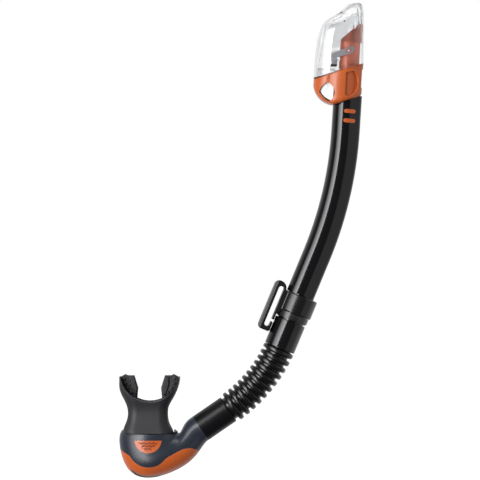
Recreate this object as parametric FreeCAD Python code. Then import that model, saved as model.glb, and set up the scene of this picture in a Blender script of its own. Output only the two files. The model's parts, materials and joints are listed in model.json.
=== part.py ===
import FreeCAD, Part
import math
import os

# Dry-top snorkel, upright as it is worn at the left side of the head.
# +Z is up, +X is towards the barrel's convex side, and the object is symmetric about the XZ plane.
# The origin is the centre of the strap slot in the keeper.  Millimetres.

V = FreeCAD.Vector

# ---------------------------------------------------------------- driving dimensions
# Swivel axis: the lower end of the barrel, the keeper, the ring and the coupling are round about it.
swivel_tilt = 22.5            # from vertical, towards +X, degrees
slot_offset = 20.0            # strap slot centre to the swivel axis

# Barrel
barrel_wall = 1.8
barrel_nose_r = 12.0          # rounded side of the D section
barrel_reach = 13.4           # half the section's length along X
barrel_shift = -1.1           # section centre from the swivel axis
barrel_flat_lean = 24.0       # the two flats close in towards the back by this, degrees
barrel_flat_run = 8.4
barrel_back_half_y = 4.6
barrel_shoulder_z = 18.8      # lower end of the D section, along the swivel axis
barrel_bend_start_z = 60.0
barrel_bend_r = 363.0
barrel_bend_deg = 18.9
spigot_r = 12.6               # round lower end that the keeper and the coupling turn on
spigot_bore_r = 10.6
spigot_end_z = -22.0
neck_inset = 2.4              # step at the top, where the barrel enters the head
neck_end_b = 43.0
head_groove_b = 36.0          # seal groove round the neck
groove_w = 2.2
o_ring_z = -12.4              # middle of the spigot's seal
running_gap = 0.05            # radial gap of every turning fit
clearance = 0.35              # gap between parts that pass each other
accent_depth = 0.9            # inlays in the barrel, pill-shaped
accent_low_a = -3.0
accent_high_a = 8.1
accent_h = 3.7
accent_places_b = (9.4, 18.3)

# Keeper
collar_r = 16.6
collar_top_z = 18.4
collar_bottom_z = 0.3
skirt_bottom_z = -12.0
keeper_half_y = 11.0
plate_inner_x = -15.0
slot_half_w = 2.25
slot_half_l = 20.0
strip_t = 2.9
strip_crown = 2.6             # rise of the strip's outer face between its edges
hook_tip_x = -15.25
hook_end_rise = 4.6           # the hook's ends beyond the slot

# Swivel ring and coupling
ring_r = 15.2
ring_top_z = 0.0
ring_bottom_z = -6.4
coupling_r = 14.8
coupling_top_z = -7.4
coupling_end_z = -31.5        # where the hose starts
coupling_skirt_z = -34.6      # the coupling's thin lower lip round the hose
bead_z = -18.5                # snap bead that keeps the coupling on the spigot
bead_rise = 0.6

# Flexible hose and cuff
hose_bend_deg = 33.0
hose_chord = 77.3
hose_root_r = 11.3
hose_bore_r = 9.3
rib_r = 15.0
rib_count = 11
rib_thick = 3.6
cuff_r = 13.4
cuff_length = 31.8
cuff_bore_r = 9.6
rib_first_deg = 2.6           # first rib's middle, along the bend

# Head, in its own frame: a along +X, b along the barrel's upper axis
head_left_a = -32.9
head_right_a = 12.6
head_nose_r = 15.0
head_half_y = 18.0
head_slant = 21.0             # tilt of the seam and of the housing's lower face
head_reach = 80.0             # longer than the head, for cutting planes
seam_left_b = 46.4
housing_face_b = 28.6         # lower face of the housing on the barrel's axis
housing_edge_r = 4.0
shell_wall = 1.8
pocket_depth = 2.0            # thumb recesses in the housing's sides
socket_wall = 1.7             # housing's wall round the barrel's neck
intake_inset = 3.8            # intake tube inside the barrel's section
intake_wall = 1.4
intake_shift = -0.3
duct_half_y = 9.6
spout_half_y = 8.2            # duct's narrow end at the port
duct_wall = 1.2
duct_step_b = 83.0
pin_a = -2.3
pin_b = 74.7
pin_r = 1.2
arm_in_y = 8.9                # lever's arms, on both sides of the intake tube
arm_out_y = 10.7
float_gap = 0.6
float_top_b = 57.0

# Chamber
mouth_x = -117.5
chamber_wall = 2.0
seat_mid_x = -119.0
seat_z = -147.0
seat_t = 2.4
port_r = 11.0
spoke_half_w = 1.2
valve_r = 13.2
valve_stem_r = 1.5
valve_travel = 1.5
grille_mid_x = -119.0
grille_half_x = 14.5
grille_half_y = 9.0
badge_top_z = -125.4
badge_depth = 0.9

# Mouthpiece
shield_x = -116.7             # centre of the saddle that the lips rest in
shield_z = -62.2
shield_r = 27.4
shield_top_z = -66.4
shield_half_y = 18.0
tab_half_y = 2.2
knob_r = 1.3


# ---------------------------------------------------------------- frames and small helpers
def tilted(x, z, tilt):
    """Placement of a local frame in the XZ plane whose z axis leans by tilt towards +X."""
    return FreeCAD.Placement(V(x, 0, z), FreeCAD.Rotation(V(0, 1, 0), tilt))


tilt_sin = math.sin(math.radians(swivel_tilt))
tilt_cos = math.cos(math.radians(swivel_tilt))
swivel = tilted(slot_offset * tilt_cos, -slot_offset * tilt_sin, swivel_tilt)

bend_centre_local = V(barrel_shift - barrel_bend_r, 0, barrel_bend_start_z)
bend_centre = swivel.multVec(bend_centre_local)
head_tilt = swivel_tilt - barrel_bend_deg
head_foot = bend_centre + V(math.cos(math.radians(head_tilt)), 0,
                            -math.sin(math.radians(head_tilt))) * barrel_bend_r
head = tilted(head_foot.x, head_foot.z, head_tilt)

hose_bend_r = hose_chord / (2 * math.sin(math.radians(hose_bend_deg / 2)))
hose_centre = swivel.multVec(V(-hose_bend_r, 0, coupling_end_z))
cuff_tilt = swivel_tilt + hose_bend_deg


def hose_point(deg):
    """Point on the hose's centre line, deg along its bend from the coupling."""
    lean = math.radians(swivel_tilt + deg)
    return hose_centre + V(math.cos(lean), 0, -math.sin(lean)) * hose_bend_r


cuff_start = hose_point(hose_bend_deg)
cuff = tilted(cuff_start.x, cuff_start.z, cuff_tilt)


def placed(shape, frame):
    """The shape, built in a local frame, moved to its place in the object."""
    moved = shape.copy()
    moved.Placement = frame.multiply(moved.Placement)
    return moved


def save(node, shape):
    """One node, one STEP file."""
    shape.exportStep("parts/" + node + ".step")


def disc(r, z0, z1, x=0.0):
    return Part.makeCylinder(r, z1 - z0, V(x, 0, z0))


def ring(r_out, r_in, z0, z1, x=0.0):
    return disc(r_out, z0, z1, x).cut(disc(r_in, z0, z1, x))


def box(x0, x1, y0, y1, z0, z1):
    return Part.makeBox(x1 - x0, y1 - y0, z1 - z0, V(x0, y0, z0))


def turned(points):
    """Solid of revolution about z from (r, z) points."""
    loop = [V(r, 0, z) for r, z in points]
    face = Part.Face(Part.makePolygon(loop + loop[:1]))
    return face.revolve(V(0, 0, 0), V(0, 0, 1), 360)


def outline(steps):
    """Closed wire in the XZ plane: (x, z) ends a line, (x, z, mid_x, mid_z) ends an arc."""
    edges = []
    last = V(steps[-1][0], 0, steps[-1][1])
    for step in steps:
        end = V(step[0], 0, step[1])
        if len(step) == 4:
            edges.append(Part.Arc(last, V(step[2], 0, step[3]), end).toShape())
        else:
            edges.append(Part.LineSegment(last, end).toShape())
        last = end
    return Part.Wire(edges)


def slab(steps, half_y):
    """Prism of an XZ outline, from -half_y to half_y."""
    wire = outline(steps)
    wire.translate(V(0, -half_y, 0))
    return Part.Face(wire).extrude(V(0, 2 * half_y, 0))


# ---------------------------------------------------------------- barrel
def barrel_section(inset=0.0, z=0.0, x=0.0):
    """D section about the local z axis: round nose at -X, flats that close in, soft flat back."""
    nose = barrel_nose_r - inset
    reach = barrel_reach - inset
    nose_x = barrel_nose_r - barrel_reach
    lean = math.radians(barrel_flat_lean)
    flat = V(nose_x + nose * math.sin(lean), nose * math.cos(lean), 0)
    run = barrel_flat_run - 0.55 * inset
    corner = flat + V(run * math.cos(lean), -run * math.sin(lean), 0)
    back = V(reach - 0.2, barrel_back_half_y - 0.5 * inset, 0)
    bulge = V(corner.x * 0.4 + back.x * 0.6 + 0.2, corner.y * 0.45 + back.y * 0.55 + 0.1, 0)
    low = [V(p.x, -p.y, 0) for p in (flat, corner, bulge, back)]
    edges = [Part.Arc(low[0], V(nose_x - nose, 0, 0), flat).toShape(),
             Part.LineSegment(flat, corner).toShape(),
             Part.Arc(corner, bulge, back).toShape(),
             Part.Arc(back, V(reach, 0, 0), low[3]).toShape(),
             Part.Arc(low[3], low[2], low[1]).toShape(),
             Part.LineSegment(low[1], low[0]).toShape()]
    wire = Part.Wire(edges)
    wire.translate(V(x, 0, z))
    return wire


def section_prism(inset, low, high, x=0.0):
    """Prism of the barrel's section between two heights."""
    return Part.Face(barrel_section(inset, low, x)).extrude(V(0, 0, high - low))


def barrel_run(inset, z_low, b_top):
    """The barrel's long D-shaped run: straight, one bend, straight."""
    straight = placed(section_prism(inset, z_low, barrel_bend_start_z, barrel_shift), swivel)
    start = Part.Face(barrel_section(inset, barrel_bend_start_z, barrel_shift))
    start.Placement = swivel.multiply(start.Placement)
    bend = start.revolve(bend_centre, V(0, -1, 0), barrel_bend_deg)
    top = placed(section_prism(inset, 0.0, b_top), head)
    return straight.fuse([bend, top]).removeSplitter()


def slanted_zone(b_at_axis, far_b):
    """Everything between the head's slanted plane and far_b."""
    rise = math.tan(math.radians(head_slant)) * head_reach
    return slab([(-head_reach, b_at_axis - rise), (head_reach, b_at_axis + rise),
                 (head_reach, far_b), (-head_reach, far_b)], head_reach)


def above_slant(shape, b_at_axis):
    return shape.common(slanted_zone(b_at_axis, 300.0))


def below_slant(shape, b_at_axis):
    return shape.common(slanted_zone(b_at_axis, -300.0))


barrel_outer = barrel_run(0.0, barrel_shoulder_z, 45.0)
cutter = placed(above_slant(box(-60, 60, -40, 40, 0, 90), housing_face_b), head)
barrel_outer = barrel_outer.cut(cutter)
neck = placed(section_prism(neck_inset, 15.0, neck_end_b), head)
spigot = disc(spigot_r, spigot_end_z, barrel_shoulder_z + 0.4)
bead_profile = [(spigot_r - 1, bead_z - 1.2), (spigot_r, bead_z - 1.2), (spigot_r + bead_rise, bead_z),
                (spigot_r, bead_z + 1.2), (spigot_r - 1, bead_z + 1.2)]
spigot = spigot.fuse(turned(bead_profile))
ring_groove = ring(spigot_r + 1, spigot_r - 0.8, ring_bottom_z + 1.5, ring_bottom_z + 3.5)
o_ring_groove = ring(spigot_r + 1, spigot_r - 1.0, o_ring_z - 1.2, o_ring_z + 1.2)
spigot = placed(spigot.cut(ring_groove).cut(o_ring_groove), swivel)
groove_top_b = head_groove_b + groove_w
groove_out = section_prism(neck_inset - 1.0, head_groove_b, groove_top_b)
head_groove = placed(groove_out.cut(section_prism(neck_inset + 0.9, head_groove_b, groove_top_b)), head)
bore = barrel_run(neck_inset + barrel_wall, barrel_shoulder_z - 1.0, neck_end_b + 1.0)
wide_bore = barrel_run(barrel_wall, barrel_shoulder_z + 3.0, 12.0)
spigot_bore = placed(disc(spigot_bore_r, spigot_end_z - 1, barrel_shoulder_z + 3.0), swivel)
barrel = barrel_outer.fuse([neck.cut(head_groove), spigot])
barrel = barrel.cut(bore).cut(wide_bore).cut(spigot_bore)


def pill(b_mid, side):
    """Inlay prism across one side, at a height b_mid along the head frame."""
    r = accent_h / 2
    steps = [(accent_high_a - r, b_mid - r),
             (accent_high_a - r, b_mid + r, accent_high_a, b_mid),
             (accent_low_a + r, b_mid + r),
             (accent_low_a + r, b_mid - r, accent_low_a, b_mid)]
    prism = slab(steps, 7.0)
    prism.translate(V(0, side * 11.0, 0))
    return prism


skin = section_prism(0.0, 0, 24).cut(section_prism(accent_depth, 0, 24))
accents = [placed(skin.common(pill(b, side)), head) for b in accent_places_b for side in (-1, 1)]
for accent in accents:
    barrel = barrel.cut(accent)
barrel_accents = Part.Compound(accents)

# ---------------------------------------------------------------- keeper
plate_outer_x = -slot_offset + slot_half_w
strip_inner_x = -slot_offset - slot_half_w
strip_edge_x = strip_inner_x - strip_t
strip_face_x = strip_edge_x - strip_crown

collar = disc(collar_r, collar_bottom_z, collar_top_z)
collar_rims = [e for e in collar.Edges if e.BoundBox.ZLength < 0.01]
collar = collar.makeFillet(1.2, collar_rims)
plate = box(plate_outer_x, plate_inner_x + 6, -keeper_half_y, keeper_half_y,
            skirt_bottom_z, collar_top_z - 0.6)
skirt_cut = slab([(-16.0, skirt_bottom_z - 1), (20, skirt_bottom_z - 1), (20, collar_bottom_z),
                  (-7.0, collar_bottom_z), (-15.6, skirt_bottom_z + 3, -13.0, -2.6)], 30)
skirt = ring(collar_r, ring_r + clearance, skirt_bottom_z, collar_bottom_z + 1)
skirt = skirt.common(box(-30, 0, -keeper_half_y, keeper_half_y, -40, 40))
plate_and_skirt = plate.fuse(skirt).cut(skirt_cut)

# Hook: its side outline, crowned across the strip's outer face
hook_side = slab([(strip_face_x, slot_half_l - 0.5),
                  (-22.0, slot_half_l + hook_end_rise, strip_face_x + 1.7, slot_half_l + 3.3),
                  (hook_tip_x, slot_half_l - 1.5, -17.6, slot_half_l + 3.0),
                  (hook_tip_x, -slot_half_l - 0.5),
                  (-18.5, -slot_half_l - 4.0, -15.5, -slot_half_l - 3.0),
                  (-24.0, -slot_half_l - 4.0),
                  (strip_face_x, -slot_half_l, strip_face_x + 1.3, -slot_half_l - 2.9)], keeper_half_y)
crown_wire = Part.Wire([
    Part.Arc(V(strip_edge_x, -keeper_half_y, 0), V(strip_face_x, 0, 0),
             V(strip_edge_x, keeper_half_y, 0)).toShape(),
    Part.LineSegment(V(strip_edge_x, keeper_half_y, 0), V(0, keeper_half_y, 0)).toShape(),
    Part.LineSegment(V(0, keeper_half_y, 0), V(0, -keeper_half_y, 0)).toShape(),
    Part.LineSegment(V(0, -keeper_half_y, 0), V(strip_edge_x, -keeper_half_y, 0)).toShape()])
crown = Part.Face(crown_wire).extrude(V(0, 0, 80))
crown.translate(V(0, 0, -40))
hook_slot = slab([(strip_inner_x, slot_half_l - 2.2),
                  (plate_outer_x, slot_half_l - 2.2, -slot_offset, slot_half_l),
                  (plate_outer_x, -slot_half_l + 2.2),
                  (strip_inner_x, -slot_half_l + 2.2, -slot_offset, -slot_half_l)], keeper_half_y + 1)
hook = hook_side.common(crown).cut(hook_slot)
hook = hook.cut(disc(coupling_r + clearance, -60, skirt_bottom_z))
strap_entry = box(plate_outer_x - 0.1, hook_tip_x + 5, -30, 30, skirt_bottom_z - 2.4, skirt_bottom_z)
keeper = collar.fuse([plate_and_skirt, hook]).cut(strap_entry)
keeper = keeper.cut(disc(spigot_r + running_gap, collar_bottom_z - 1, collar_top_z + 5))
keeper = keeper.cut(disc(ring_r + clearance, -60, collar_bottom_z))
strap_keeper = placed(keeper, swivel)

# ---------------------------------------------------------------- swivel ring, seal and coupling
snap_ring = ring(ring_r, spigot_r, ring_bottom_z, ring_top_z)
snap_ring = snap_ring.cut(ring(ring_r + 1, ring_r - 0.9, ring_bottom_z - 0.1, ring_bottom_z + 1.1))
snap_lug = ring(spigot_r + 0.5, spigot_r - 0.8, ring_bottom_z + 1.5, ring_bottom_z + 3.5)
swivel_ring = placed(snap_ring.fuse(snap_lug), swivel)
swivel_o_ring = placed(Part.makeTorus(spigot_r - 0.8, 0.7, V(0, 0, o_ring_z)), swivel)

bead_room = [(spigot_r - 1, bead_z - 1.7), (spigot_r + 0.1, bead_z - 1.7),
             (spigot_r + bead_rise + 0.3, bead_z), (spigot_r + 0.1, bead_z + 1.7),
             (spigot_r - 1, bead_z + 1.7)]
sleeve = disc(coupling_r, coupling_skirt_z, coupling_top_z)
sleeve = sleeve.makeFillet(0.8, [e for e in sleeve.Edges if e.BoundBox.ZLength < 0.01])
sleeve = sleeve.cut(disc(spigot_r + running_gap, spigot_end_z - 0.6, coupling_top_z + 1))
sleeve = sleeve.cut(turned(bead_room)).cut(disc(hose_bore_r, coupling_end_z - 1, coupling_top_z))
sleeve = sleeve.cut(disc(hose_root_r + clearance, coupling_skirt_z - 1, coupling_end_z))
swivel_coupling = placed(sleeve, swivel)

# ---------------------------------------------------------------- flexible hose
def hose_frame(deg):
    """Frame on the hose's centre line, with z along it, upwards."""
    point = hose_point(deg)
    return tilted(point.x, point.z, swivel_tilt + deg)


root_circle = Part.Circle(V(0, 0, 0), V(0, 0, 1), hose_root_r).toShape()
bore_circle = Part.Circle(V(0, 0, 0), V(0, 0, 1), hose_bore_r).toShape()
tube_face = Part.Face(Part.Wire([root_circle])).cut(Part.Face(Part.Wire([bore_circle])))
tube_face.Placement = hose_frame(0).multiply(tube_face.Placement)
tube = tube_face.revolve(hose_centre, V(0, 1, 0), hose_bend_deg)
rib_step_deg = (hose_bend_deg - 2 * rib_first_deg + 0.5) / (rib_count - 1)
rib = ring(rib_r, hose_bore_r + 1, -rib_thick / 2, rib_thick / 2)
rib = rib.makeFillet(1.2, [e for e in rib.Edges if e.BoundBox.XLength > 2 * rib_r - 1])
ribs = [placed(rib, hose_frame(rib_first_deg + i * rib_step_deg)) for i in range(rib_count)]
flex_hose = tube.fuse(ribs)

cuff_body = disc(cuff_r, -cuff_length, -0.3).cut(disc(cuff_bore_r, -cuff_length - 1, 1))
cuff_body = cuff_body.makeFillet(1.0, [e for e in cuff_body.Edges if e.BoundBox.XLength > 2 * cuff_r - 1
                                       and e.BoundBox.ZMin > -1])
hose_cuff = placed(cuff_body, cuff)

# ---------------------------------------------------------------- chamber
# Stations of the J-shaped chamber: inner end, outer end, half depth.  Each is an oval across the J.
arm_near = cuff.multVec(V(-cuff_r, 0, -cuff_length))
arm_far = cuff.multVec(V(cuff_r, 0, -cuff_length))
root_near = cuff.multVec(V(-cuff_r, 0, -cuff_length - 3.0))
root_far = cuff.multVec(V(cuff_r, 0, -cuff_length - 3.0))
stations = [((-93.0, -115.8), (-142.6, -116.6), 16.0),
            ((-90.8, -117.4), (-144.8, -121.0), 18.3),
            ((-90.2, -118.6), (-143.6, -138.5), 19.5),
            ((-89.6, -119.4), (-132.5, -157.6), 20.0),
            ((-88.9, -119.3), (-112.5, -161.2), 19.6),
            ((-87.4, -117.6), (-90.5, -153.8), 17.6),
            ((-84.4, -111.8), (-73.5, -141.0), 15.2),
            ((root_near.x, root_near.z), (root_far.x, root_far.z), cuff_r),
            ((arm_near.x, arm_near.z), (arm_far.x, arm_far.z), cuff_r)]


def chamber_loft(inset):
    """Smooth solid through the stations, each oval drawn in by inset."""
    wires = []
    for near, far, half_y in stations:
        a = V(near[0], 0, near[1])
        b = V(far[0], 0, far[1])
        mid = (a + b) * 0.5
        reach = (b - a).Length / 2 - inset
        along = (b - a).normalize()
        deep = half_y - inset
        turns = [2 * math.pi * k / 16 for k in range(17)]
        points = [mid + along * (reach * math.cos(t)) + V(0, deep * math.sin(t), 0) for t in turns]
        curve = Part.BSplineCurve()
        curve.interpolate(points)
        wires.append(Part.Wire([curve.toShape()]))
    return Part.makeLoft(wires, True, False)


chamber_outer = chamber_loft(0.0)
chamber_inner = chamber_loft(chamber_wall)
shell = chamber_outer.cut(chamber_inner)

wave_steps = [(-150.0, -170), (-60, -170), (-60, -128), (-69.0, -137.0),
              (-87.0, -134.4, -78.0, -132.8), (-101.4, -142.4, -94.2, -138.0),
              (-135.0, -140.0, -118.7, -150.6), (-150, -131.5)]
below_wave = slab(wave_steps, 60)

grille_steps = [(grille_mid_x - grille_half_x, -170), (grille_mid_x + grille_half_x, -170),
                (grille_mid_x + grille_half_x, -150), (grille_mid_x - grille_half_x, -150)]
grille_zone = slab(grille_steps, grille_half_y)
cover_shell = shell.common(below_wave)
purge_grille = cover_shell.common(grille_zone)
slot_half_x = grille_half_x - 2.5
for slot_y in (-6.4, -3.2, 3.2, 6.4):
    slot = box(grille_mid_x - slot_half_x, grille_mid_x + slot_half_x,
               slot_y - 0.9, slot_y + 0.9, -170, -150)
    purge_grille = purge_grille.cut(slot)
purge_cover = cover_shell.cut(grille_zone)

# Top of the chamber: the rim dips at the sides, where the mouthpiece's base comes down
mouth_seam = slab([(-139.4, -100), (-93.6, -100), (-93.6, -117.2),
                   (-96.4, -119.8, -94.4, -119.2), (-136.6, -119.8),
                   (-139.4, -117.2, -138.6, -119.2)], 60)
chamber_shell = shell.cut(below_wave).cut(mouth_seam)

# Floor of the chamber with the purge port, and its valve
seat_low_z = seat_z - seat_t
floor = box(-160, -60, -40, 40, seat_low_z, seat_z).common(chamber_inner)
port = disc(port_r, seat_low_z - 1, seat_z + 1, seat_mid_x)
spokes = disc(3.4, seat_low_z, seat_z, seat_mid_x)
for reach_x, reach_y in ((port_r + 0.5, spoke_half_w), (spoke_half_w, port_r + 0.5)):
    spokes = spokes.fuse(box(seat_mid_x - reach_x, seat_mid_x + reach_x, -reach_y, reach_y,
                             seat_low_z, seat_z))
stem_hole = disc(valve_stem_r + running_gap, seat_low_z - 1, seat_z + 1, seat_mid_x)
purge_seat = floor.cut(port).fuse(spokes).cut(stem_hole)
valve_disc = disc(valve_r, seat_low_z - 1.3, seat_low_z - 0.1, seat_mid_x)
valve_stem = disc(valve_stem_r, seat_low_z - 1.0, seat_z + 2.6, seat_mid_x)
valve_head = disc(valve_stem_r + 0.8, seat_z + valve_travel + 0.1, seat_z + 3.4, seat_mid_x)
purge_valve = valve_disc.fuse([valve_stem, valve_head])

# Badge inlays on both sides: a D with a flat top
badge_prism = slab([(-105.0, badge_top_z), (-130.5, badge_top_z, mouth_x, -137.0)], 60)
badge_skin = chamber_outer.cut(chamber_loft(badge_depth)).common(badge_prism)
badge_front = badge_skin.common(box(-160, -60, -60, 0, -180, -100))
badge_back = badge_skin.common(box(-160, -60, 0, 60, -180, -100))
chamber_shell = chamber_shell.cut(badge_front).cut(badge_back)

# ---------------------------------------------------------------- mouthpiece
def rounded_section(left, right, half_y, z):
    """Soft rounded rectangle at height z."""
    r = min((right - left) / 2, half_y) * 0.72
    bite = r * (1 - math.sqrt(0.5))
    corners = []
    for x, y in ((left, half_y), (left, -half_y), (right, -half_y), (right, half_y)):
        in_x = r if x == left else -r
        in_y = r if y < 0 else -r
        along = V(x + in_x, y, z)
        up = V(x, y + in_y, z)
        middle = V(x + bite * in_x / r, y + bite * in_y / r, z)
        corners.append((along, middle, up) if in_x * in_y < 0 else (up, middle, along))
    edges = []
    for i, (start, middle, end) in enumerate(corners):
        edges.append(Part.LineSegment(corners[i - 1][2], start).toShape())
        edges.append(Part.Arc(start, middle, end).toShape())
    return Part.Wire(edges)


# Outside, from the base to the tips of the wings: left, right, half depth, height
mouth_levels = [(-141.0, -94.4, 16.8, -119.8), (-140.6, -96.6, 14.8, -113.4), (-138.2, -98.9, 13.0, -107.4),
                (-137.1, -99.5, 12.2, -101.6), (-137.7, -99.0, 12.8, -95.6), (-139.7, -96.4, 14.6, -90.0),
                (-143.6, -92.0, 17.0, -82.0), (-145.2, -89.0, shield_half_y, -73.4),
                (-145.3, -88.2, shield_half_y - 0.4, shield_top_z)]
bore_levels = [(-136.0, -99.0, 12.5, -119.9), (-133.7, -101.3, 9.6, -110.5),
               (-132.1, -102.9, 8.0, -101.6), (-130.5, -104.5, 7.0, -83.4)]
mouth_body = Part.makeLoft([rounded_section(*level) for level in mouth_levels], True, False)
mouth_bore = Part.makeLoft([rounded_section(*level) for level in bore_levels], True, False)


def saddle_cylinder(r, half_y):
    """Cylinder across the mouth, about the centre of the saddle for the lips."""
    return Part.makeCylinder(r, 2 * half_y, V(shield_x, -half_y, shield_z), V(0, 1, 0))


saddle = saddle_cylinder(shield_r, 60)
mouthpiece = mouth_body.cut(saddle).cut(mouth_bore)

# Bite tabs: pads inside the saddle, each with a row of knobs and a thick inner edge
tab_steps = [(-131.0, -65.3), (-127.4, -77.0), (-128.2, -86.6), (-134.0, -91.0), (-147.0, -78.0),
             (-144.0, -66.6), (-139.4, -64.1), (-137.1, -65.3)]
tab_room = saddle_cylinder(shield_r - 0.02, 60)
bite_tab_left = slab(tab_steps, tab_half_y)
for knob_x, knob_z in ((-140.2, -68.4), (-139.4, -73.0), (-137.2, -77.4), (-133.8, -81.2), (-130.6, -84.6)):
    half = tab_half_y + 0.9
    knob = Part.makeCylinder(knob_r, 2 * half, V(knob_x, -half, knob_z), V(0, 1, 0))
    bite_tab_left = bite_tab_left.fuse(knob)
inner_edge = slab([(-131.4, -66.6), (-128.6, -77.0), (-129.4, -83.6), (-132.2, -82.0),
                   (-134.6, -74.0), (-134.8, -67.0)], tab_half_y + 1.5)
bite_tab_left = bite_tab_left.fuse(inner_edge).common(tab_room)
bite_tab_right = bite_tab_left.mirror(V(shield_x, 0, 0), V(1, 0, 0))

ring_outside = Part.makeLoft([rounded_section(-138.1, -96.9, 14.4, z) for z in (-121.6, -117.4)], True, True)
ring_inside = Part.makeLoft([rounded_section(-135.9, -99.1, 12.4, z) for z in (-122, -117)], True, True)
mouthpiece_ring = ring_outside.cut(ring_inside).cut(chamber_shell)
mouthpiece = mouthpiece.cut(chamber_shell).cut(mouthpiece_ring)


# ---------------------------------------------------------------- head: plan section and outlines
def head_plan(inset, z):
    """Egg-shaped plan of the head about the local b axis."""
    nose_r = head_nose_r - inset
    nose_x = head_left_a + head_nose_r
    half = head_half_y - inset
    back = head_right_a - inset
    wire = Part.Wire([
        Part.Arc(V(nose_x, -nose_r, z), V(nose_x - nose_r, 0, z), V(nose_x, nose_r, z)).toShape(),
        Part.Arc(V(nose_x, nose_r, z), V(-6.5, half, z), V(back - 5.0, 12.5 - inset, z)).toShape(),
        Part.Arc(V(back - 5.0, 12.5 - inset, z), V(back - 1.2, 9.4 - inset, z), V(back, 5.0, z)).toShape(),
        Part.LineSegment(V(back, 5.0, z), V(back, -5.0, z)).toShape(),
        Part.Arc(V(back, -5.0, z), V(back - 1.2, inset - 9.4, z), V(back - 5.0, inset - 12.5, z)).toShape(),
        Part.Arc(V(back - 5.0, -12.5 + inset, z), V(-6.5, -half, z), V(nose_x, -nose_r, z)).toShape()])
    return wire


def head_prism(inset):
    return Part.Face(head_plan(inset, 0.0)).extrude(V(0, 0, 130))


seam_axis_b = seam_left_b - head_left_a * math.tan(math.radians(head_slant))

# Hood: side outline with the two lobes of the top
def hood_profile(inset):
    i = inset
    return slab([(-60, 10), (40, 10), (12.9 - i, 60), (9.4 - i, 115.6 - i, 12.0 - i, 88.0),
                 (5.6 - i, 120.7 - i, 8.6 - i, 119.6 - i),
                 (-12.2, 111.0 - i, -4.6, 118.2 - i), (-22.4, 105.4 - i, -17.6, 107.8 - i),
                 (-33.2 + i, 72.0, -30.2 + i, 91.0)], 40)


def hood_end_view(inset):
    """The hood seen along X: straight sides that draw in to a rounded top."""
    half = head_half_y - inset
    top = [V(0, half, 78.0), V(0, half - 2.0, 101.0), V(0, 9.5 - inset / 2, 118.0 - inset),
           V(0, 0, 121.2 - inset)]
    mirror = [V(0, -p.y, p.z) for p in top]
    wire = Part.Wire([
        Part.LineSegment(V(0, half, 0), top[0]).toShape(),
        Part.Arc(top[0], top[1], top[2]).toShape(),
        Part.Arc(top[2], top[3], mirror[2]).toShape(),
        Part.Arc(mirror[2], mirror[1], mirror[0]).toShape(),
        Part.LineSegment(mirror[0], V(0, -half, 0)).toShape(),
        Part.LineSegment(V(0, -half, 0), V(0, half, 0)).toShape()])
    wire.translate(V(-60, 0, 0))
    return Part.Face(wire).extrude(V(120, 0, 0))


def hood_solid(inset):
    return head_prism(inset).common(hood_profile(inset)).common(hood_end_view(inset))


hood_outer = hood_solid(0.0)
hood_inner = hood_solid(shell_wall)
dry_top_hood = above_slant(hood_outer.cut(hood_inner), seam_axis_b)


# Housing: bowl under the seam, with a socket for the barrel's neck
def housing_profile(inset):
    low = housing_face_b + inset
    rise = math.tan(math.radians(head_slant))
    nose_a = -12.8
    return slab([(20, low + 20 * rise), (20, 95), (-40, 95), (-33.2 + inset, 46.4),
                 (nose_a, low + nose_a * rise, -27.2 + inset, 29.9 + inset)], 40)


housing_outer = below_slant(head_prism(0.0).common(housing_profile(0.0)), seam_axis_b)
low_edges = [e for e in housing_outer.Edges if e.BoundBox.ZMax < 47 and e.BoundBox.YLength > 0.3]
housing_outer = housing_outer.makeFillet(housing_edge_r, low_edges)
housing_inner = head_prism(shell_wall).common(housing_profile(shell_wall))
socket = section_prism(neck_inset - socket_wall, 15.0, neck_end_b)
neck_space = section_prism(neck_inset, 0.0, 120.0)
window = slab([(-19.7, 43.9, -13.2, 34.6), (-27.2, 34.9, -24.6, 40.3), (-17.3, 26.2, -23.4, 29.6)], 40)
pocket_steps = [(-3.5, 53.9), (4.0, 56.0), (1.0, 31.9, 8.6, 45.0), (-3.1, 32.6)]
pocket = slab(pocket_steps, 40).cut(head_prism(pocket_depth))
pocket_back = slab([(-5.5, 54.5), (5.5, 58.0), (2.0, 29.9, 11.2, 45.0), (-5.1, 30.2)], 40)
pocket_back = pocket_back.common(head_prism(1.0)).cut(head_prism(pocket_depth + 1.2))
back_notch = box(head_right_a - 0.9, head_right_a + 5, -30, 30, 41.0, 58.5)
housing = housing_outer.cut(housing_inner).fuse([socket.common(housing_outer),
                                                pocket_back.common(housing_outer)])
float_housing = housing.cut(neck_space).cut(window).cut(pocket).cut(back_notch)

# Intake tube: carries the bore up to a slanted mouth
mouth_plane = slab([(-9.9, 85.1), (-8.5, 86.7), (9.5, 103.4), (9.5, 40.0), (-20, 40.0), (-20, 85.1)], 30)
intake_outer = section_prism(intake_inset, neck_end_b, 113.0, intake_shift)
intake_bore = section_prism(intake_inset + intake_wall, 40.0, 130.0, intake_shift)
pin_hole = Part.makeCylinder(pin_r, 60, V(pin_a, -30, pin_b), V(0, 1, 0))
intake_tube = intake_outer.common(mouth_plane).cut(intake_bore).cut(pin_hole).cut(dry_top_hood)

# Port duct: leads air from the port above the lever over the tube's mouth
def duct_outline(w):
    """Side outline of the duct, drawn in by w, open at the port and at the intake tube."""
    return [(-20.8 + w, 76.3 - 4 * w), (-23.0 + w, 94.0), (-17.7, 100.0 - w, -21.6 + w, 98.6 - w),
            (-7.0, 103.0 - w), (2.0, 110.0 - w, -3.6, 107.0 - w), (14.0, 111.5 - w),
            (14.0, 83.0 - 4 * w), (-9.9, 83.0 - 4 * w), (-9.9, 78.8 - 4 * w)]


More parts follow.
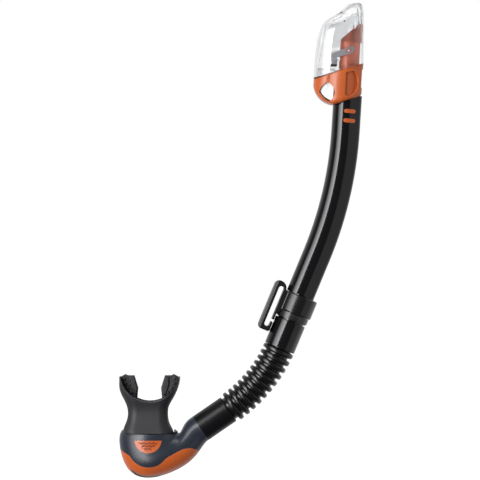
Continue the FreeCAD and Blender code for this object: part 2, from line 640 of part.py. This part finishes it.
wide_zone = box(-40, 40, -duct_half_y, duct_half_y, duct_step_b, 130)
spout_zone = box(-40, 40, -spout_half_y, spout_half_y, 60, duct_step_b)
wide_hollow = box(-40, 40, -duct_half_y + duct_wall, duct_half_y - duct_wall, 60, 130)
narrow_hollow = box(-40, 40, -spout_half_y + duct_wall, spout_half_y - duct_wall, 60, 130)
duct_body = slab(duct_outline(0.0), 40).common(wide_zone.fuse(spout_zone))
hollow_zone = wide_hollow.common(box(-40, 40, -30, 30, duct_step_b + duct_wall, 130)).fuse(narrow_hollow)
duct_hollow = slab(duct_outline(duct_wall), 40).common(hollow_zone)
port_duct = duct_body.cut(duct_hollow).common(hood_inner).cut(intake_outer.common(mouth_plane))
port_duct = port_duct.cut(intake_bore)

# Lever: two arms beside the intake tube, a cross bar with the seal, and a foot over the float
arm_outline = [(-18.0, 71.2), (1.3, 79.7), (0.7, 72.4, 2.9, 75.8), (-17.1, 66.2)]
arm_profile = slab(arm_outline, arm_out_y)
bar_zone = box(-30, -11.4, -arm_out_y, arm_out_y, 60, 90)
side_zone = box(-30, 30, -arm_out_y, arm_out_y, 60, 90).cut(box(-40, 40, -arm_in_y, arm_in_y, 50, 95))
foot = slab([(-17.2, 67.0), (-12.0, 69.0), (-12.0, 61.4), (-17.6, 61.4)], 6.0)
pin_run = Part.makeCylinder(pin_r + running_gap, 60, V(pin_a, -30, pin_b), V(0, 1, 0))
valve_lever = arm_profile.common(bar_zone.fuse(side_zone)).fuse(foot).cut(pin_run)
float_bumper = slab([(-17.9, 61.4), (-11.9, 61.4), (-12.2, 60.0), (-18.1, 60.0)], 6.4)
seal_lift = V(-0.81, 0, 1.83)
seal_outline = [(-18.0, 71.2), (-18.0 + seal_lift.x, 71.2 + seal_lift.z),
                (-11.4 + seal_lift.x, 74.1 + seal_lift.z), (-11.4, 74.1)]
valve_seal = slab(seal_outline, 7.8).cut(valve_lever)
pins = []
for side in (-1, 1):
    pin = Part.makeCylinder(pin_r, arm_out_y + 0.6 - 6.9, V(pin_a, side * 6.9, pin_b), V(0, side, 0))
    cap = Part.makeCylinder(pin_r + 0.9, 0.8, V(pin_a, side * (arm_out_y + 0.2), pin_b), V(0, side, 0))
    pins.append(pin.fuse(cap))
lever_pivot_pins = Part.Compound(pins)

# Float: white block that fills the nose of the housing
float_inset = shell_wall + float_gap
float_zone = box(-40, -13.6, -40, 40, 20, float_top_b)
valve_float = head_prism(float_inset).common(housing_profile(float_inset)).common(float_zone)

# Seal round the barrel's neck
seal_low_b = head_groove_b + 0.1
seal_top_b = groove_top_b - 0.1
head_o_ring = section_prism(neck_inset, seal_low_b, seal_top_b)
head_o_ring = head_o_ring.cut(section_prism(neck_inset + 0.9, seal_low_b, seal_top_b))

# ---------------------------------------------------------------- write every node
head_nodes = {"dry_top_hood": dry_top_hood, "float_housing": float_housing, "intake_tube": intake_tube,
              "port_duct": port_duct, "valve_lever": valve_lever, "float_bumper": float_bumper,
              "valve_seal": valve_seal, "lever_pivot_pins": lever_pivot_pins, "float": valve_float,
              "head_o_ring": head_o_ring}
nodes = {"barrel": barrel, "barrel_accents": barrel_accents, "strap_keeper": strap_keeper,
         "swivel_ring": swivel_ring, "swivel_o_ring": swivel_o_ring, "swivel_coupling": swivel_coupling,
         "flex_hose": flex_hose, "hose_cuff": hose_cuff, "chamber_shell": chamber_shell,
         "purge_cover": purge_cover, "purge_grille": purge_grille, "purge_seat": purge_seat,
         "purge_valve": purge_valve, "badge_front": badge_front, "badge_back": badge_back,
         "mouthpiece": mouthpiece, "mouthpiece_ring": mouthpiece_ring,
         "bite_tab_left": bite_tab_left, "bite_tab_right": bite_tab_right}
for node, shape in head_nodes.items():
    nodes[node] = placed(shape, head)

os.makedirs("parts", exist_ok=True)
for node, shape in nodes.items():
    save(node, shape)
    print(node, len(shape.Solids), shape.isValid(), round(shape.Volume))
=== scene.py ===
import json
import math
import bmesh
import bpy
from mathutils import Matrix, Vector
from mathutils.bvhtree import BVHTree


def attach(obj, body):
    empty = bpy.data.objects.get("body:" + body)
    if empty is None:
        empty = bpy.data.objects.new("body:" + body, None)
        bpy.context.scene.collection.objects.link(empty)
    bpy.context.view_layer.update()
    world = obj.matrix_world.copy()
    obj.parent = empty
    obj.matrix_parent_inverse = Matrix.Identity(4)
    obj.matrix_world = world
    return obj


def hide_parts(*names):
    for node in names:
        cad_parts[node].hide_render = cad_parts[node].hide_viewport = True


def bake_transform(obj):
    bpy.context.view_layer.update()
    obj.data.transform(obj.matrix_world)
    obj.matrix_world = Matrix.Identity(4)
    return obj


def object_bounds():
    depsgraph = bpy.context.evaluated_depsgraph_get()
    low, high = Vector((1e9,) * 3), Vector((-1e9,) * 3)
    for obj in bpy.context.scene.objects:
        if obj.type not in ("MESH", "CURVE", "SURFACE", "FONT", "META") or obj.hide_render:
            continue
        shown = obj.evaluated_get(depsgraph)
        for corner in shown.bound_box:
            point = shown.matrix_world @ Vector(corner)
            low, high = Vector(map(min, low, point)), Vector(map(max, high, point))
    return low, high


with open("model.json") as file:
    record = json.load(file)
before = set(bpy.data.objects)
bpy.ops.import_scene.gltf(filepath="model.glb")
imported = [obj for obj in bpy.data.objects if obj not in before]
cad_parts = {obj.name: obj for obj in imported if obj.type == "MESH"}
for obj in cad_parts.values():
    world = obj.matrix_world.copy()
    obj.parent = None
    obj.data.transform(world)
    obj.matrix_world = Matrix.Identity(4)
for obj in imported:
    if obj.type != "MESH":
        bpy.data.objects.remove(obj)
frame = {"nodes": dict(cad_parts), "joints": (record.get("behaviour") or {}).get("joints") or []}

# Looks of the dry-top snorkel: materials for the CAD nodes, and detailed pieces for the moulded
# and soft ones.  Metres throughout, with mm as the factor for sizes named in millimetres.

mm = 0.001
cad_low, cad_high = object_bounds()
nodes = frame["nodes"]
joints = {joint["name"]: joint for joint in frame["joints"]}
scene = bpy.context.scene

# ---------------------------------------------------------------- local frames, from the joints
across = Vector((0, 1, 0))


class Local:
    """Frame in the XZ plane, in millimetres: a to its side, y across, b along its axis."""

    def __init__(self, origin, up):
        self.origin = Vector(origin)
        self.up = Vector(up).normalized()
        self.side = across.cross(self.up).normalized()

    def at(self, a, y, b):
        return self.origin + (self.side * a + across * y + self.up * b) * mm

    def moved(self, a, b):
        return Local(self.at(a, 0, b), self.up)


swivel = Local(joints["keeper_swivel"]["pos_m"], joints["keeper_swivel"]["axis"])
pin_a = -2.3
pin_b = 74.7
pin = Local(joints["lever_pivot"]["pos_m"], joints["float_slide"]["axis"])
head = pin.moved(-pin_a, -pin_b)

coupling_end_b = -31.5
hose_bend = math.radians(33.0)
hose_chord = 77.3
hose_radius = hose_chord / (2 * math.sin(hose_bend / 2))
hose_centre = swivel.at(-hose_radius, 0, coupling_end_b)


def hose_frame(turn):
    """Frame on the hose's centre line, turn radians along its bend from the coupling."""
    spin = Matrix.Rotation(turn, 3, across)
    start = swivel.at(0, 0, coupling_end_b) - hose_centre
    return Local(hose_centre + spin @ start, spin @ swivel.up)


# ---------------------------------------------------------------- mesh helpers
def link(name, mesh):
    piece = bpy.data.objects.new(name, mesh)
    scene.collection.objects.link(piece)
    return piece


def finished(piece):
    """The piece with its modifiers applied and smooth shading."""
    view = bpy.context.evaluated_depsgraph_get()
    mesh = bpy.data.meshes.new_from_object(piece.evaluated_get(view))
    piece.modifiers.clear()
    piece.data = mesh
    mesh.shade_smooth()
    return piece


def rows_mesh(name, rows, close_rows=False, cap_first=False, cap_last=False):
    """Skin over rows of points; each row is a closed loop, and caps fan to the row's middle."""
    mesh = bmesh.new()
    rings = [[mesh.verts.new(p) for p in row] for row in rows]
    count = len(rows[0])
    last = len(rings) if close_rows else len(rings) - 1
    for i in range(last):
        low, high = rings[i], rings[(i + 1) % len(rings)]
        for k in range(count):
            n = (k + 1) % count
            mesh.faces.new((low[k], low[n], high[n], high[k]))
    for ring, wanted in ((rings[0], cap_first), (rings[-1], cap_last)):
        if wanted:
            middle = mesh.verts.new(sum((v.co for v in ring), Vector()) / count)
            for k in range(count):
                mesh.faces.new((ring[k], ring[(k + 1) % count], middle))
    bmesh.ops.recalc_face_normals(mesh, faces=mesh.faces)
    data = bpy.data.meshes.new(name)
    mesh.to_mesh(data)
    mesh.free()
    data.shade_smooth()
    return link(name, data)


def turns_of(count):
    return [2 * math.pi * k / count for k in range(count)]


def circle(local, r):
    """Row of points of radius r round a frame's axis."""
    return [local.at(r * math.cos(t), r * math.sin(t), 0) for t in turns_of(hose_around)]


def soften(name, node, voxel, steps):
    """Moulded version of a CAD node: same shape with small rounded edges."""
    mesh = nodes[node].data.copy()
    mesh.materials.clear()
    piece = link(name, mesh)
    remesh = piece.modifiers.new("remesh", "REMESH")
    remesh.mode = "VOXEL"
    remesh.voxel_size = voxel * mm
    smooth = piece.modifiers.new("smooth", "SMOOTH")
    smooth.factor = 0.5
    smooth.iterations = steps
    finished(piece)
    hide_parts(node)
    return piece


# ---------------------------------------------------------------- materials
broad_scale = 55.0            # of the slow change in colour and roughness
grain_depth = 0.0002          # of the bump, in metres
coat_roughness = 0.06
least_roughness = 0.02
worn_from = 0.52              # pointiness where edge wear begins
worn_to = 0.62


def material(name, color, roughness, bump=0.05, scale=900.0, spread=0.06, shade=0.12,
             coat=0.0, transmission=0.0, ior=1.5, wear=0.0, wear_color=(0.4, 0.4, 0.4),
             specular=0.5):
    """Moulded plastic or rubber: fine grain in the bump, slow change in colour and roughness,
    and paler worn edges where wear is above zero."""
    made = bpy.data.materials.new(name)
    made.use_nodes = True
    tree = made.node_tree
    shader = tree.nodes["Principled BSDF"]
    shader.inputs["IOR"].default_value = ior
    shader.inputs["Specular IOR Level"].default_value = specular
    shader.inputs["Coat Weight"].default_value = coat
    shader.inputs["Coat Roughness"].default_value = coat_roughness
    shader.inputs["Transmission Weight"].default_value = transmission
    place = tree.nodes.new("ShaderNodeTexCoord")
    fine = tree.nodes.new("ShaderNodeTexNoise")
    fine.inputs["Scale"].default_value = scale
    fine.inputs["Detail"].default_value = 4.0
    broad = tree.nodes.new("ShaderNodeTexNoise")
    broad.inputs["Scale"].default_value = broad_scale
    broad.inputs["Detail"].default_value = 3.0
    for noise in (fine, broad):
        tree.links.new(place.outputs["Object"], noise.inputs["Vector"])
    rough = tree.nodes.new("ShaderNodeMapRange")
    rough.inputs["To Min"].default_value = max(least_roughness, roughness - spread)
    rough.inputs["To Max"].default_value = roughness + spread
    tree.links.new(broad.outputs["Fac"], rough.inputs["Value"])
    tree.links.new(rough.outputs["Result"], shader.inputs["Roughness"])
    tint = tree.nodes.new("ShaderNodeMix")
    tint.data_type = "RGBA"
    tint.inputs["A"].default_value = (*[c * (1 - shade) for c in color], 1)
    tint.inputs["B"].default_value = (*[min(1.0, c * (1 + shade)) for c in color], 1)
    tree.links.new(broad.outputs["Fac"], tint.inputs["Factor"])
    color_out = tint.outputs["Result"]
    if wear:
        edges = tree.nodes.new("ShaderNodeNewGeometry")
        band = tree.nodes.new("ShaderNodeMapRange")
        band.inputs["From Min"].default_value = worn_from
        band.inputs["From Max"].default_value = worn_to
        band.inputs["To Max"].default_value = wear
        worn = tree.nodes.new("ShaderNodeMix")
        worn.data_type = "RGBA"
        worn.inputs["B"].default_value = (*wear_color, 1)
        tree.links.new(edges.outputs["Pointiness"], band.inputs["Value"])
        tree.links.new(band.outputs["Result"], worn.inputs["Factor"])
        tree.links.new(color_out, worn.inputs["A"])
        color_out = worn.outputs["Result"]
    tree.links.new(color_out, shader.inputs["Base Color"])
    relief = tree.nodes.new("ShaderNodeBump")
    relief.inputs["Strength"].default_value = bump
    relief.inputs["Distance"].default_value = grain_depth
    tree.links.new(fine.outputs["Fac"], relief.inputs["Height"])
    tree.links.new(relief.outputs["Normal"], shader.inputs["Normal"])
    return made


gloss_black = material("gloss_black", (0.0045, 0.0045, 0.0055), 0.13, bump=0.012, spread=0.03)
satin_black = material("satin_black", (0.006, 0.006, 0.007), 0.24, bump=0.015, spread=0.04,
                       wear=0.03)
hose_black = material("hose_black", (0.005, 0.005, 0.006), 0.24, bump=0.015, scale=600.0,
                      spread=0.04)
cuff_black = material("cuff_black", (0.0045, 0.0045, 0.0055), 0.3, bump=0.03, spread=0.03,
                      specular=0.2)
orange = material("orange", (0.42, 0.08, 0.012), 0.36, bump=0.04, scale=1400.0, coat=0.12,
                  wear=0.12, wear_color=(0.6, 0.22, 0.07))
orange_inlay = material("orange_inlay", (0.42, 0.08, 0.012), 0.34, bump=0.03, scale=1400.0,
                        coat=0.12)
orange_deep = material("orange_deep", (0.58, 0.15, 0.09), 0.35, bump=0.05)
# Darker orange for the badge's swells: painted shade along their relief
orange_painted_shade = material("orange_painted_shade", (0.2, 0.032, 0.006), 0.4, bump=0.05)
chamber_grey = material("chamber_grey", (0.017, 0.021, 0.031), 0.3, bump=0.02, wear=0.04,
                        wear_color=(0.2, 0.22, 0.26), spread=0.04)
silicone = material("silicone", (0.0105, 0.01, 0.0135), 0.55, bump=0.06, scale=900.0,
                    spread=0.08)
lever_grey = material("lever_grey", (0.30, 0.30, 0.32), 0.4, bump=0.08)
# The float's white is dimmed to a pale grey: painted shade of the housing round it
float_white = material("float_white", (0.6, 0.6, 0.61), 0.6, bump=0.3, scale=1600.0)
seal_dark = material("seal_dark", (0.012, 0.006, 0.008), 0.5, bump=0.1)
seal_pale = material("seal_pale", (0.8, 0.8, 0.78), 0.45, bump=0.1)
pin_pink = material("pin_pink", (0.5, 0.14, 0.12), 0.35)
seat_grey = material("seat_grey", (0.06, 0.062, 0.07), 0.4)
valve_clear = material("valve_clear", (0.7, 0.71, 0.72), 0.3, transmission=0.6, ior=1.41)
clear = material("clear", (0.96, 0.965, 0.97), 0.02, bump=0.01, spread=0.01, shade=0.01,
                 transmission=1.0)
clear_inner = material("clear_inner", (0.95, 0.955, 0.96), 0.05, bump=0.01, spread=0.02,
                       shade=0.02, transmission=1.0)

finishes = {
    "barrel": gloss_black,
    "barrel_accents": orange_inlay,
    "swivel_ring": satin_black,
    "swivel_coupling": gloss_black,
    "swivel_o_ring": seal_dark,
    "hose_cuff": cuff_black,
    "chamber_shell": chamber_grey,
    "purge_cover": orange,
    "purge_grille": gloss_black,
    "purge_seat": seat_grey,
    "purge_valve": valve_clear,
    "badge_front": orange,
    "badge_back": orange,
    "mouthpiece_ring": seat_grey,
    "intake_tube": orange_deep,
    "port_duct": clear_inner,
    "valve_lever": lever_grey,
    "lever_pivot_pins": pin_pink,
    "float_bumper": seal_dark,
    "valve_seal": seal_pale,
    "head_o_ring": seal_dark,
    "float": float_white,
}
for node, finish in finishes.items():
    nodes[node].data.materials.clear()
    nodes[node].data.materials.append(finish)


def dress(piece, finish, body):
    """Material and body of a finished piece."""
    piece.data.materials.clear()
    piece.data.materials.append(finish)
    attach(piece, body)
    return piece


# ---------------------------------------------------------------- clear hood
# Sizes in the head frame, in millimetres: a to the right, b along the head's axis
wall = 1.8
seam_left_a = -32.9
seam_left_b = 46.4
seam_slope = math.tan(math.radians(21.0))
seam_axis_b = seam_left_b - seam_left_a * seam_slope
seam_start = 10.0             # how far left of the axis the first row's level meets the seam
seam_rows = 26.0              # rows that the seam's slant fades over
hood_top_b = 121.0
crown_b = 95.0                # above this level the inset also counts downwards
hood_left = [(40, -32.9), (60, -33.0), (72, -32.8), (80, -32.2), (88, -31.0), (94, -29.4),
             (99, -27.2), (103.0, -24.2), (106.0, -20.0), (108.3, -16.0), (110.6, -12.6),
             (113.5, -10.0), (116.5, -7.0), (118.8, -3.6), (120.3, 0.6), (121.0, 5.0)]
hood_right = [(40, 12.9), (64, 12.8), (80, 12.3), (92, 11.7), (104, 10.9), (112, 10.1),
              (116.5, 9.2), (119.0, 8.0), (120.4, 6.6), (121.0, 5.4)]
hood_depth = [(40, 18.0), (76, 18.0), (88, 17.6), (98, 16.4), (106, 14.4), (112, 11.6),
              (116.5, 8.2), (119.0, 5.2), (120.4, 2.6), (121.0, 0.6)]


def smooth_at(table, b):
    """Value of a (height, value) table at b, on a smooth curve through its points."""
    if b <= table[0][0]:
        return table[0][1]
    if b >= table[-1][0]:
        return table[-1][1]
    i = next(k for k in range(len(table) - 1) if b <= table[k + 1][0])
    (b0, v0), (b1, v1) = table[i], table[i + 1]
    run = (v1 - v0) / (b1 - b0)
    before = (v0 - table[i - 1][1]) / (b0 - table[i - 1][0]) if i else run
    after = (table[i + 2][1] - v1) / (table[i + 2][0] - b1) if i + 2 < len(table) else run
    slope0 = (run + before) / 2
    slope1 = (run + after) / 2
    width = b1 - b0
    t = (b - b0) / width
    return ((2 * t ** 3 - 3 * t ** 2 + 1) * v0 + (t ** 3 - 2 * t ** 2 + t) * width * slope0
            + (3 * t ** 2 - 2 * t ** 3) * v1 + (t ** 3 - t ** 2) * width * slope1)


nose_power = 2.5              # superellipse powers of the plan section: 2 is round
corner_power = 3.4
widest = 0.55                 # place of the greatest depth, from left to right


def egg(left, right, depth, turn):
    """Point of the head's plan section: a rounded nose at the left, soft corners at the right."""
    middle = left + (right - left) * widest
    c = math.cos(turn)
    s = math.sin(turn)
    power = 2.0 / (nose_power if c < 0 else corner_power)
    half = (middle - left) if c < 0 else (right - middle)
    a = middle + half * math.copysign(abs(c) ** power, c)
    y = depth * math.copysign(abs(s) ** (2.0 / nose_power), s)
    return a, y


# Moulded ribs on the hood's inner face: two ends in the head frame, and the rib's height
hood_rib_half_width = 1.1
hood_rib_clear_y = 2.0        # no rib nearer to the hood's middle plane than this
hood_ribs = [((-5.4, 109.5), (-4.4, 92.0), 0.7), ((-0.6, 112.0), (1.6, 96.0), 0.7),
             ((4.5, 114.0), (6.0, 98.0), 0.6), ((-25.0, 97.0), (-29.0, 62.0), 0.6),
             ((-11.0, 106.0), (-19.0, 101.5), 0.6), ((-29.0, 60.5), (-11.0, 66.0), 0.5)]


def rib_rise(a, b):
    """How far the hood's inner face stands in at a point, for its ribs."""
    rise = 0.0
    for (a0, b0), (a1, b1), height in hood_ribs:
        run_a, run_b = a1 - a0, b1 - b0
        t = ((a - a0) * run_a + (b - b0) * run_b) / (run_a ** 2 + run_b ** 2)
        t = min(1.0, max(0.0, t))
        away = math.hypot(a - a0 - t * run_a, b - b0 - t * run_b)
        rise = max(rise, height * max(0.0, 1 - (away / hood_rib_half_width) ** 2))
    return rise


hood_steps = 90
hood_around = 160
least_width = 0.4             # of a row at the hood's tip
least_depth = 0.2


def hood_rows(inset):
    """Rows of the hood's skin from the slanted seam up, inset from the outside."""
    rows = []
    low_b = seam_axis_b - seam_start * seam_slope
    top_b = hood_top_b - inset
    for i in range(hood_steps + 1):
        b = low_b + (top_b - low_b) * math.sin(math.pi / 2 * i / hood_steps)
        table_b = min(hood_top_b, b + inset * (max(0.0, b - crown_b) / (top_b - crown_b)))
        left = smooth_at(hood_left, table_b) + inset
        right = smooth_at(hood_right, table_b) - inset
        if right < left + least_width:
            middle = (left + right) / 2
            left = middle - least_width / 2
            right = middle + least_width / 2
        depth = max(least_depth, smooth_at(hood_depth, table_b) - inset)
        tilt = max(0.0, 1 - i / seam_rows)
        row = []
        for k in range(hood_around):
            a, y = egg(left, right, depth, 2 * math.pi * k / hood_around)
            place_b = b + (seam_axis_b + a * seam_slope - low_b) * tilt
            if inset and abs(y) > hood_rib_clear_y:
                y -= math.copysign(rib_rise(a, place_b), y)
            row.append(head.at(a, y, place_b))
        rows.append(row)
    return rows


hood = rows_mesh("clear_hood", hood_rows(wall)[::-1] + hood_rows(0.0), cap_first=True,
                 cap_last=True)
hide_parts("dry_top_hood")
dress(hood, clear, "barrel")

# ---------------------------------------------------------------- housing, keeper and mouthpiece
# Each: piece, CAD node, voxel (mm), smoothing steps, material, body and record slot
moulded = [
    ("float_housing_shell", "float_housing", 0.36, 5, orange, "barrel", "orange_gloss"),
    ("float_block", "float", 0.5, 24, float_white, "float", "float_white"),
    ("keeper_moulding", "strap_keeper", 0.34, 12, satin_black, "keeper", "keeper_black"),
    ("mouthpiece_skin", "mouthpiece", 0.55, 10, silicone, "chamber", "mouth_silicone"),
    ("bite_tab_left_skin", "bite_tab_left", 0.3, 5, silicone, "chamber", "mouth_silicone"),
    ("bite_tab_right_skin", "bite_tab_right", 0.3, 5, silicone, "chamber", "mouth_silicone"),
]
for name, node, voxel, steps, finish, body, slot in moulded:
    dress(soften(name, node, voxel, steps), finish, body)

# ---------------------------------------------------------------- corrugated hose
rib_count = 11
first_turn = math.radians(2.6)
last_rib_lead = math.radians(0.5)
rib_turn = (hose_bend - 2 * first_turn + last_rib_lead) / (rib_count - 1)
root_r = 11.3
rib_r = 15.0
bore_r = 9.4
rib_half = 0.36               # half of a rib's width, in rib spacings
rib_power = 4                 # of the rib's rounded crown
steps_per_rib = 30
bore_step = 10                # one bore row for so many outer rows
hose_around = 80


def rib_height(turn):
    """Outer radius of the hose: rounded ribs on a plain root."""
    place = (turn - first_turn) / rib_turn
    nearest = min(max(round(place), 0), rib_count - 1)
    away = abs(place - nearest) / rib_half
    if away >= 1:
        return root_r
    return root_r + (rib_r - root_r) * (1 - away ** rib_power) ** 0.5


def hose_piece():
    """Hose of one skin: the ribbed outside down, then the plain bore back up."""
    rows = []
    steps = rib_count * steps_per_rib
    for i in range(steps + 1):
        turn = hose_bend * i / steps
        rows.append(circle(hose_frame(turn), rib_height(turn)))
    for i in range(steps, -1, -bore_step):
        turn = hose_bend * i / steps
        rows.append(circle(hose_frame(turn), bore_r))
    return rows_mesh("hose_bellows", rows, close_rows=True)


hose = hose_piece()
hose.data.materials.append(hose_black)
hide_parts("flex_hose")
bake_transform(hose)

# ---------------------------------------------------------------- raised details
ridge_sides = 12
ridge_end = 0.55              # size of a ridge's end rows


def ridge(name, path, r):
    """Round ridge along a path that runs across the view, with closed ends."""
    rows = []
    last = len(path) - 1
    for i, p in enumerate(path):
        along = (path[min(i + 1, last)] - path[max(i - 1, 0)]).normalized()
        out = across.cross(along).normalized()
        reach = r * mm * (ridge_end if i in (0, last) else 1.0)
        rows.append([p + (out * math.cos(t) + across * math.sin(t)) * reach
                     for t in turns_of(ridge_sides)])
    return rows_mesh(name, rows, cap_first=True, cap_last=True)


def surface_tree(node):
    mesh = nodes[node].data
    return BVHTree.FromPolygons([v.co for v in mesh.vertices],
                                [list(f.vertices) for f in mesh.polygons])


def on_surface(tree, x, z, side):
    """Point of a surface at x, z (millimetres), seen from side (-1 front, 1 back)."""
    return tree.ray_cast(Vector((x * mm, side * 0.1, z * mm)), Vector((0, -side, 0)))[0]


# Badge: three raised swells, a plain pattern, coloured darker orange as painted shade of their
# relief.  Each: half length and height, in millimetres
badge_x = -117.8
swells = [(8.6, -127.8), (6.4, -130.4), (3.4, -133.0)]
swell_r = 0.62
swell_wave = 0.55             # rise of its wave
swell_pitch = 1.45            # radians of wave a millimetre
swell_steps = 24
for side, badge in ((-1, "badge_front"), (1, "badge_back")):
    badge_tree = surface_tree(badge)
    for row, (half, z) in enumerate(swells):
        path = []
        for k in range(swell_steps + 1):
            x = badge_x + half * (2 * k / swell_steps - 1)
            wave = swell_wave * math.cos(x * swell_pitch)
            path.append(on_surface(badge_tree, x, z + wave, side))
        swell = ridge(badge + "_swell_" + str(row), path, swell_r)
        dress(swell, orange_painted_shade, "chamber")

# Lever: a raised eye round each pin, and the pin's pale end
eye_r = 2.75
eye_wire = 0.42
eye_y = 10.75
dome_y = 11.65
dome = [(0.95, 0.0), (0.9, 0.15), (0.7, 0.25), (0.35, 0.3)]   # radius and rise
for side, end in ((-1, "front"), (1, "back")):
    eye_rows = []
    for turn in turns_of(40):
        eye_row = []
        for bend in turns_of(10):
            r = eye_r + eye_wire * math.cos(bend)
            y = side * (eye_y + eye_wire * math.sin(bend))
            eye_row.append(pin.at(r * math.cos(turn), y, r * math.sin(turn)))
        eye_rows.append(eye_row)
    eye = rows_mesh("lever_eye_" + end, eye_rows, close_rows=True)
    dress(eye, lever_grey, "lever")
    dome_rows = []
    for r, rise in dome:
        dome_rows.append([pin.at(r * math.cos(t), side * (dome_y + rise), r * math.sin(t))
                          for t in turns_of(32)])
    pin_end = rows_mesh("pin_end_" + end, dome_rows, cap_first=True, cap_last=True)
    dress(pin_end, seal_pale, "barrel")

# ---------------------------------------------------------------- camera, light and floor
view_width = 0.4512           # metres across the picture at the object's plane
aim_x = -0.0016               # where the camera aims, from the middle of the CAD box
aim_z = 0.0004
centre_x = (cad_low.x + cad_high.x) / 2 + aim_x
centre_z = (cad_low.z + cad_high.z) / 2 + aim_z
camera_distance = 2.4
sensor = 36.0
camera_data = bpy.data.cameras.new("camera")
camera_data.sensor_width = sensor
camera_data.lens = sensor * camera_distance / view_width
camera = bpy.data.objects.new("camera", camera_data)
scene.collection.objects.link(camera)
camera.location = (centre_x, -camera_distance, centre_z)
camera.rotation_euler = (math.pi / 2, 0, 0)
scene.camera = camera

world = bpy.data.worlds.new("studio")
world.use_nodes = True
scene.world = world
sky = world.node_tree
backdrop = sky.nodes["Background"]
backdrop.inputs["Color"].default_value = (1, 1, 1, 1)


def sky_node(kind, values=(), links=()):
    """World node with its unlinked values and its incoming links."""
    node = sky.nodes.new(kind)
    for key, value in values:
        node.inputs[key].default_value = value
    for key, source in links:
        sky.links.new(source, node.inputs[key])
    return node


def ramp_on_y(low_y, high_y, low_value, high_value):
    """Brightness that changes with how far a ray points away from the camera."""
    return sky_node("ShaderNodeMapRange",
                    [("From Min", low_y), ("From Max", high_y),
                     ("To Min", low_value), ("To Max", high_value)],
                    [("Value", axes.outputs["Y"])])


# White straight behind and through clear parts, dark in front for the glossy parts
rays = sky_node("ShaderNodeLightPath")
toward = sky_node("ShaderNodeTexCoord")
axes = sky_node("ShaderNodeSeparateXYZ", links=[("Vector", toward.outputs["Generated"])])
behind = ramp_on_y(-0.1, 0.6, 0.07, 0.9)
clear_view = ramp_on_y(0.3, 0.97, 0.1, 1.0)
diffuse_level = 0.34
gloss = sky_node("ShaderNodeMix", [("A", diffuse_level)],
                 [("Factor", rays.outputs["Is Glossy Ray"]), ("B", behind.outputs["Result"])])
passing = sky_node("ShaderNodeMix", [],
                   [("Factor", rays.outputs["Is Transmission Ray"]),
                    ("A", gloss.outputs["Result"]), ("B", clear_view.outputs["Result"])])
level = sky_node("ShaderNodeMix", [("B", 1.0)],
                 [("Factor", rays.outputs["Is Camera Ray"]), ("A", passing.outputs["Result"])])
sky.links.new(level.outputs["Result"], backdrop.inputs["Strength"])


def softbox(name, azimuth, height, distance, width, tall, radiance, fade=0.0):
    """Area light aimed at the object, in metres; azimuth in degrees from the camera to the left.

    fade darkens it from one side to the other, so that its reflection has one soft edge."""
    data = bpy.data.lights.new(name, "AREA")
    data.shape = "RECTANGLE"
    data.size = width
    data.size_y = tall
    data.energy = radiance * math.pi * width * tall
    data.use_nodes = True
    tree = data.node_tree
    spot = tree.nodes.new("ShaderNodeNewGeometry")
    axis = tree.nodes.new("ShaderNodeSeparateXYZ")
    ramp = tree.nodes.new("ShaderNodeMapRange")
    ramp.inputs["To Min"].default_value = 1.0 - fade
    tree.links.new(spot.outputs["Parametric"], axis.inputs["Vector"])
    tree.links.new(axis.outputs["X"], ramp.inputs["Value"])
    tree.links.new(ramp.outputs["Result"], tree.nodes["Emission"].inputs["Strength"])
    lamp = bpy.data.objects.new(name, data)
    scene.collection.objects.link(lamp)
    turn = math.radians(azimuth)
    lamp.location = (centre_x - distance * math.sin(turn), -distance * math.cos(turn),
                     centre_z + height)
    aim = Vector((centre_x, 0, centre_z)) - lamp.location
    lamp.rotation_euler = aim.to_track_quat("-Z", "Y").to_euler()


softbox("key", azimuth=43, height=0.1, distance=1.5, width=1.15, tall=1.8, radiance=11.0,
        fade=0.88)
softbox("side", azimuth=-80, height=0.1, distance=1.6, width=2.6, tall=2.4, radiance=0.5)
softbox("top", azimuth=20, height=1.5, distance=0.5, width=1.0, tall=0.8, radiance=3.0)

floor_half = 9.0
floor_drop = 0.45             # below the object, which hangs clear as in a catalogue picture
floor_glow = 0.8              # keeps the floor as pale as the backdrop
floor_mesh = bmesh.new()
bmesh.ops.create_grid(floor_mesh, x_segments=8, y_segments=8, size=floor_half)
floor_data = bpy.data.meshes.new("floor")
floor_mesh.to_mesh(floor_data)
floor_mesh.free()
floor = link("floor", floor_data)
floor.location = (centre_x, 0, cad_low.z - floor_drop)
floor_material = material("floor_pale", (0.86, 0.86, 0.86), 0.7, bump=0.05, scale=60.0,
                          shade=0.01)
floor_shader = floor_material.node_tree.nodes["Principled BSDF"]
floor_shader.inputs["Emission Color"].default_value = (1, 1, 1, 1)
floor_shader.inputs["Emission Strength"].default_value = floor_glow
floor_data.materials.append(floor_material)
floor.visible_glossy = False
floor.visible_diffuse = False
scene.view_settings.view_transform = "Standard"
